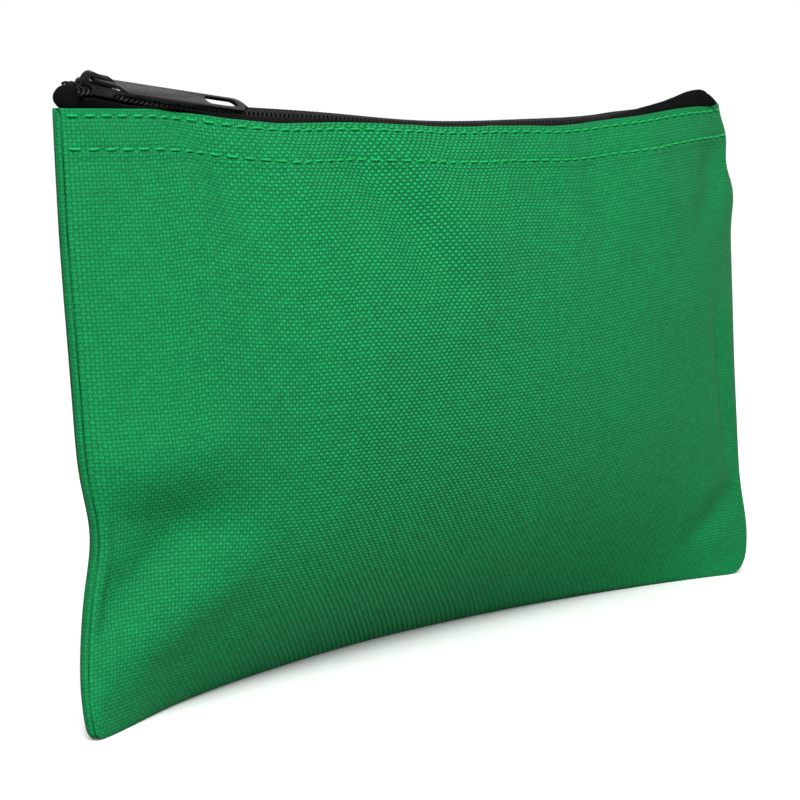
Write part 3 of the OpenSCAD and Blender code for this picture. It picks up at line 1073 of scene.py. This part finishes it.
def coil_piece(chain, name, node, side, low, high, body):
    """One coil, or half of one: a filament wound in flat slanting turns whose heads reach past the middle."""
    s = chain.s
    r = s.coil_wire / 2
    far = s.coil_width / 2 - r
    near = -(chain.head - r)
    up = chain.coil_top - r
    down = chain.coil_low + r
    steps = 16
    first = math.ceil(low / s.coil_pitch)
    last = math.floor(high / s.coil_pitch)
    shift = 0.0 if side == FRONT_SIDE else 0.5
    path = []
    for k in range((last - first) * steps + 1):
        turn = first + k / steps
        a = 2.0 * math.pi * (turn - math.floor(turn))
        c, n = math.cos(a), math.sin(a)
        f = (far + near) / 2 + (far - near) / 2 * math.copysign(abs(c) ** 0.75, c)
        h = (up + down) / 2 + (up - down) / 2 * math.copysign(abs(n) ** 0.8, n)
        slant = 0.30 * s.coil_pitch * n
        x = (turn + shift) * s.coil_pitch + slant
        x = min(max(x, low), high)
        path.append(chain.place(x, side, f, h))
    build = Build()
    build.tube(path, Vector((1.0, 0.0, 0.0)), r * 1.08, r, 8)
    obj = build.finish(name, finish_of("nylon_coil"), body)
    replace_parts(obj, node)


class BAG_OT_coils(bpy.types.Operator):
    """Wind the two meshed coils of the zipper"""

    bl_idname = "bag.coils"
    bl_label = "Zipper coils"

    def execute(self, context):
        chain = Chain(context.scene.bag_sizes)
        low = chain.coil_from
        high = chain.coil_to
        coil_piece(chain, "front_coil_left", "front_coil", FRONT_SIDE, low, 0.0, BLENDED)
        coil_piece(chain, "front_coil_right", "front_coil", FRONT_SIDE, 0.0, high, BLENDED)
        coil_piece(chain, "rear_coil_whole", "rear_coil", BACK_SIDE, low, high, BAG)
        return {"FINISHED"}


# ---------------------------------------------------------------- slider and pull


def arc(x, y, r, start, end, count=8):
    """Points along an arc, with its angles in degrees."""
    return [(x + r * math.cos(math.radians(a)), y + r * math.sin(math.radians(a)))
            for a in spaced(start, end, count)]


def cast(build, outlines, low, high, bevel, matrix, bend=None):
    """A cast plate with rounded edges. The first outline is its edge and the others are its holes, all in mm.
    bend gives how far it is set down and how far it is turned at each place along it."""
    part = bmesh.new()
    edges = []
    for outline in outlines:
        verts = [part.verts.new((x, y, low)) for x, y in outline]
        for k, v in enumerate(verts):
            edges.append(part.edges.new((v, verts[(k + 1) % len(verts)])))
    bmesh.ops.triangle_fill(part, use_beauty=True, edges=edges)
    grown = bmesh.ops.extrude_face_region(part, geom=part.faces[:])["geom"]
    moved = [v for v in grown if isinstance(v, bmesh.types.BMVert)]
    bmesh.ops.translate(part, verts=moved, vec=(0.0, 0.0, high - low))
    bmesh.ops.recalc_face_normals(part, faces=part.faces)
    rims = [e for e in part.edges if len(e.link_faces) == 2 and e.calc_face_angle() > 1.2
            and abs(e.verts[0].co.z - e.verts[1].co.z) < 1e-6]
    bmesh.ops.bevel(part, geom=rims, offset=bevel, segments=3, profile=0.5, affect="EDGES",
                    clamp_overlap=True)
    for v in part.verts:
        if bend is not None:
            down, turn = bend(v.co.x)
            v.co = Matrix.Rotation(turn, 3, "X") @ v.co
            v.co.z -= down
    bmesh.ops.transform(part, matrix=matrix @ Matrix.Scale(MM, 4), verts=part.verts)
    link = {v: build.mesh.verts.new(v.co) for v in part.verts}
    for face in part.faces:
        made = build.mesh.faces.new([link[v] for v in face.verts])
        for loop in made.loops:
            loop[build.uv].uv = (loop.vert.co.x, loop.vert.co.z)
    part.free()


def slider_frame(chain):
    """Where the closed slider stands: X along the chain and Z away from the bag."""
    angle = math.asin(-chain.closed_x / chain.radius)
    return (Matrix.Translation(chain.centre) @ Matrix.Rotation(angle, 4, "Y")
            @ Matrix.Translation((0.0, 0.0, -chain.radius)) @ Matrix.Rotation(chain.roll_left, 4, "X"))


def plate_outline(nose, tail, front):
    """A slider plate's outline: wide shoulders at the nose, narrower at the tail."""
    half = 4.9
    nose_r = 2.2
    tail_r = 1.2
    x0 = nose_r - front
    x1 = half - tail_r
    return (arc(x0, nose - nose_r, nose_r, 180, 90) + arc(x1, tail - tail_r, tail_r, 90, 0)
            + arc(x1, tail_r - tail, tail_r, 0, -90) + arc(x0, nose_r - nose, nose_r, -90, -180))


TOP_PLATE = (1.4, 2.15)
LOW_PLATE = (-2.7, -1.95)


class BAG_OT_slider(bpy.types.Operator):
    """Build the slider's body and the crown that holds the pull"""

    bl_idname = "bag.slider"
    bl_label = "Slider"

    def execute(self, context):
        chain = Chain(context.scene.bag_sizes)
        place = slider_frame(chain)
        build = Build()
        cast(build, [plate_outline(3.8, 4.1, 3.9)], *TOP_PLATE, 0.32, place)
        cast(build, [plate_outline(3.3, 3.2, 4.9)], *LOW_PLATE, 0.25, place)
        for sign in (-1, 1):
            wall = [(-3.4, 3.38 * sign), (-2.6, 4.3 * sign), (3.9, 4.02 * sign), (4.4, 3.38 * sign)]
            cast(build, [wall], 0.1 if sign < 0 else -0.85, TOP_PLATE[0] + 0.2, 0.12, place)
        post = [(-4.4, -0.5), (-2.1, -0.5), (-2.1, 0.5), (-4.4, 0.5)]
        cast(build, [post], LOW_PLATE[1] - 0.05, TOP_PLATE[0] + 0.05, 0.1, place)
        body = build.finish("slider_casting", finish_of("black_enamel"), SLIDER, math.radians(50))
        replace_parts(body, "slider_body")
        build = Build()
        foot = TOP_PLATE[1]
        sunk = foot - 0.15
        outer = [(-4.5, sunk), *arc(-2.1, 2.5, 2.3, 180, 90), *arc(3.0, 2.2, 1.8, 80, 0), (4.9, sunk)]
        floor = foot + 0.45
        inner = arc(-2.6, floor + 0.4, 0.4, 270, 180, 3) + arc(-2.1, 2.5, 1.2, 180, 90)
        inner += arc(3.0, 2.2, 0.8, 80, 0) + arc(3.3, floor + 0.4, 0.4, 0, -90, 3)
        upright = place @ Matrix.Rotation(math.radians(90), 4, "X")
        cast(build, [outer, inner], -0.95, 0.95, 0.34, upright)
        crown = build.finish("slider_crown_loop", finish_of("black_enamel"), SLIDER, math.radians(50))
        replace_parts(crown, "slider_crown")
        return {"FINISHED"}


def pull_bend(x):
    """How far the pull is set down, in mm, and how far it is turned, at a place along it."""
    return 1.2 * smooth(4.5, 9.5, x), math.radians(9.0) * smooth(6.5, 12.0, x)


class BAG_OT_pull(bpy.types.Operator):
    """Build the pull tab with its eye and slot"""

    bl_idname = "bag.pull"
    bl_label = "Pull"

    def execute(self, context):
        chain = Chain(context.scene.bag_sizes)
        hinge = Matrix.Translation((-1.6 * MM, 0.0, 3.4 * MM))
        rolled = Matrix.Rotation(math.radians(10.0), 4, "X") @ Matrix.Rotation(math.radians(-3.0), 4, "Y")
        place = slider_frame(chain) @ hinge @ rolled
        long = 52.0
        half = 3.8
        half_thick = 0.46
        head = 2.5
        neck = 8.8
        tip = long - half
        rear = 1.4
        edge = (arc(0.35, head - 1.0, 1.0, 180, 90, 5) + arc(neck - 1.0, rear - 0.2, 0.3, 90, 60, 2)
                + arc(tip - 0.3, rear - 3.4, 3.4, 90, 0, 12)
                + arc(tip - 1.1, 0.0, half, -28, -90, 10)
                + arc(neck + 1.5, 1.5 - half, 1.5, -90, -125, 4)
                + arc(neck - 1.4, -head - 1.2, 1.2, 45, 90, 3)
                + arc(0.35, 1.0 - head, 1.0, -90, -180, 5))
        eye = arc(1.2, 1.2, 0.6, 180, 90, 3) + arc(6.2, 1.0, 0.8, 90, 0, 4) + arc(6.2, -1.0, 0.8, 0, -90, 4)
        eye += arc(1.2, -1.2, 0.6, -90, -180, 3)
        slot_r = 1.6
        slot_y = -1.0
        slot_end = long - 4.0 - slot_r
        slot_start = slot_end - 11.0 + 2 * slot_r
        slot = arc(slot_end, slot_y, slot_r, 90, -90, 10)
        slot += arc(slot_start, slot_y, slot_r, -90, -270, 10)
        build = Build()
        cast(build, [edge, eye[::-1], slot[::-1]], -half_thick, half_thick, 0.30, place, pull_bend)
        obj = build.finish("pull_blade", finish_of("black_enamel"), PULL, math.radians(50))
        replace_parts(obj, "pull_tab")
        return {"FINISHED"}


# ---------------------------------------------------------------- studio


CAMERA_PLACE = (-0.5416, -0.4644, 0.1577)
CAMERA_YAW = math.radians(48.43)
CAMERA_PITCH = math.radians(7.13)
LAMPS_AIM = Vector((0.0, 0.0, 0.08))


class BAG_OT_studio(bpy.types.Operator):
    """Set the pale floor, the soft lights and the camera"""

    bl_idname = "bag.studio"
    bl_label = "Studio"

    def execute(self, context):
        lights = context.scene.bag_lights
        colours = context.scene.bag_colours
        scene = context.scene
        data = bpy.data.meshes.new("floor")
        mesh = bmesh.new()
        bmesh.ops.create_grid(mesh, x_segments=1, y_segments=1, size=20.0)
        mesh.to_mesh(data)
        mesh.free()
        floor = bpy.data.objects.new("floor", data)
        scene.collection.objects.link(floor)
        f = Finish("studio_floor", 0.85, Specular_IOR_Level=0.1, Emission_Color=(1.0, 1.0, 1.0, 1.0),
                   Emission_Strength=0.06)
        grey = f.noise(3.0, 2.0)
        f.feed("Base Color", f.mix(grey + 0.5, [c * 0.98 for c in colours.floor], colours.floor))
        data.materials.append(f.material)
        floor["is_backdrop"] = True
        world = bpy.data.worlds.new("surroundings")
        world.use_nodes = True
        back = world.node_tree.nodes["Background"]
        back.inputs["Color"].default_value = (1.0, 1.0, 1.0, 1.0)
        back.inputs["Strength"].default_value = lights.sky
        scene.world = world
        lit = bpy.data.collections.new("lit_by_lamps")
        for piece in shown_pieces():
            lit.objects.link(piece)
        ground = bpy.data.collections.new("lit_by_floor_lamp")
        ground.objects.link(floor)
        for name, place, size, power in (
                ("key", Vector((-0.75, -0.70, 0.95)), 0.40, lights.key),
                ("fill", Vector((0.6, -1.1, 0.5)), 1.2, lights.fill),
                ("floor_lamp", Vector((-0.55, -0.47, 1.1)), 0.50, lights.floor)):
            lamp = bpy.data.lights.new(name, "AREA")
            lamp.size = size
            lamp.energy = power
            holder = bpy.data.objects.new(name, lamp)
            holder.location = place
            holder.rotation_mode = "QUATERNION"
            holder.rotation_quaternion = (LAMPS_AIM - place).to_track_quat("-Z", "Y")
            holder.light_linking.receiver_collection = ground if name == "floor_lamp" else lit
            scene.collection.objects.link(holder)
        eye = bpy.data.cameras.new("camera")
        eye.sensor_width = 36.0
        eye.lens = 114.0
        camera = bpy.data.objects.new("camera", eye)
        camera.location = CAMERA_PLACE
        level = math.cos(CAMERA_PITCH)
        look = Vector((math.sin(CAMERA_YAW) * level, math.cos(CAMERA_YAW) * level,
                       -math.sin(CAMERA_PITCH)))
        camera.rotation_mode = "QUATERNION"
        camera.rotation_quaternion = look.to_track_quat("-Z", "Y")
        scene.collection.objects.link(camera)
        scene.camera = camera
        scene.view_settings.view_transform = "Standard"
        scene.view_settings.look = "None"
        return {"FINISHED"}


class BAG_PT_panel(bpy.types.Panel):
    """Lists the steps that build the bag"""

    bl_label = "Cash deposit bag"
    bl_idname = "BAG_PT_panel"
    bl_space_type = "VIEW_3D"
    bl_region_type = "UI"
    bl_category = "Bag"

    def draw(self, context):
        for step in STEPS:
            self.layout.operator(step.bl_idname)
        for group in (context.scene.bag_sizes, context.scene.bag_colours, context.scene.bag_lights):
            box = self.layout.box()
            for name in group.__annotations__:
                box.prop(group, name)


STEPS = (BAG_OT_walls, BAG_OT_seams, BAG_OT_tapes, BAG_OT_coils, BAG_OT_stitches, BAG_OT_slider, BAG_OT_pull,
         BAG_OT_studio)
GROUPS = {"bag_sizes": BagSizes, "bag_colours": BagColours, "bag_lights": StudioLights}


def register():
    for group in GROUPS.values():
        bpy.utils.register_class(group)
    for name, group in GROUPS.items():
        setattr(bpy.types.Scene, name, PointerProperty(type=group))
    for step in STEPS:
        bpy.utils.register_class(step)
    bpy.utils.register_class(BAG_PT_panel)


def unregister():
    bpy.utils.unregister_class(BAG_PT_panel)
    for step in reversed(STEPS):
        bpy.utils.unregister_class(step)
    for name in GROUPS:
        delattr(bpy.types.Scene, name)
    for group in reversed(GROUPS.values()):
        bpy.utils.unregister_class(group)


def main():
    register()
    for step in STEPS:
        area, name = step.bl_idname.split(".")
        getattr(getattr(bpy.ops, area), name)()


if __name__ == "__main__":
    main()
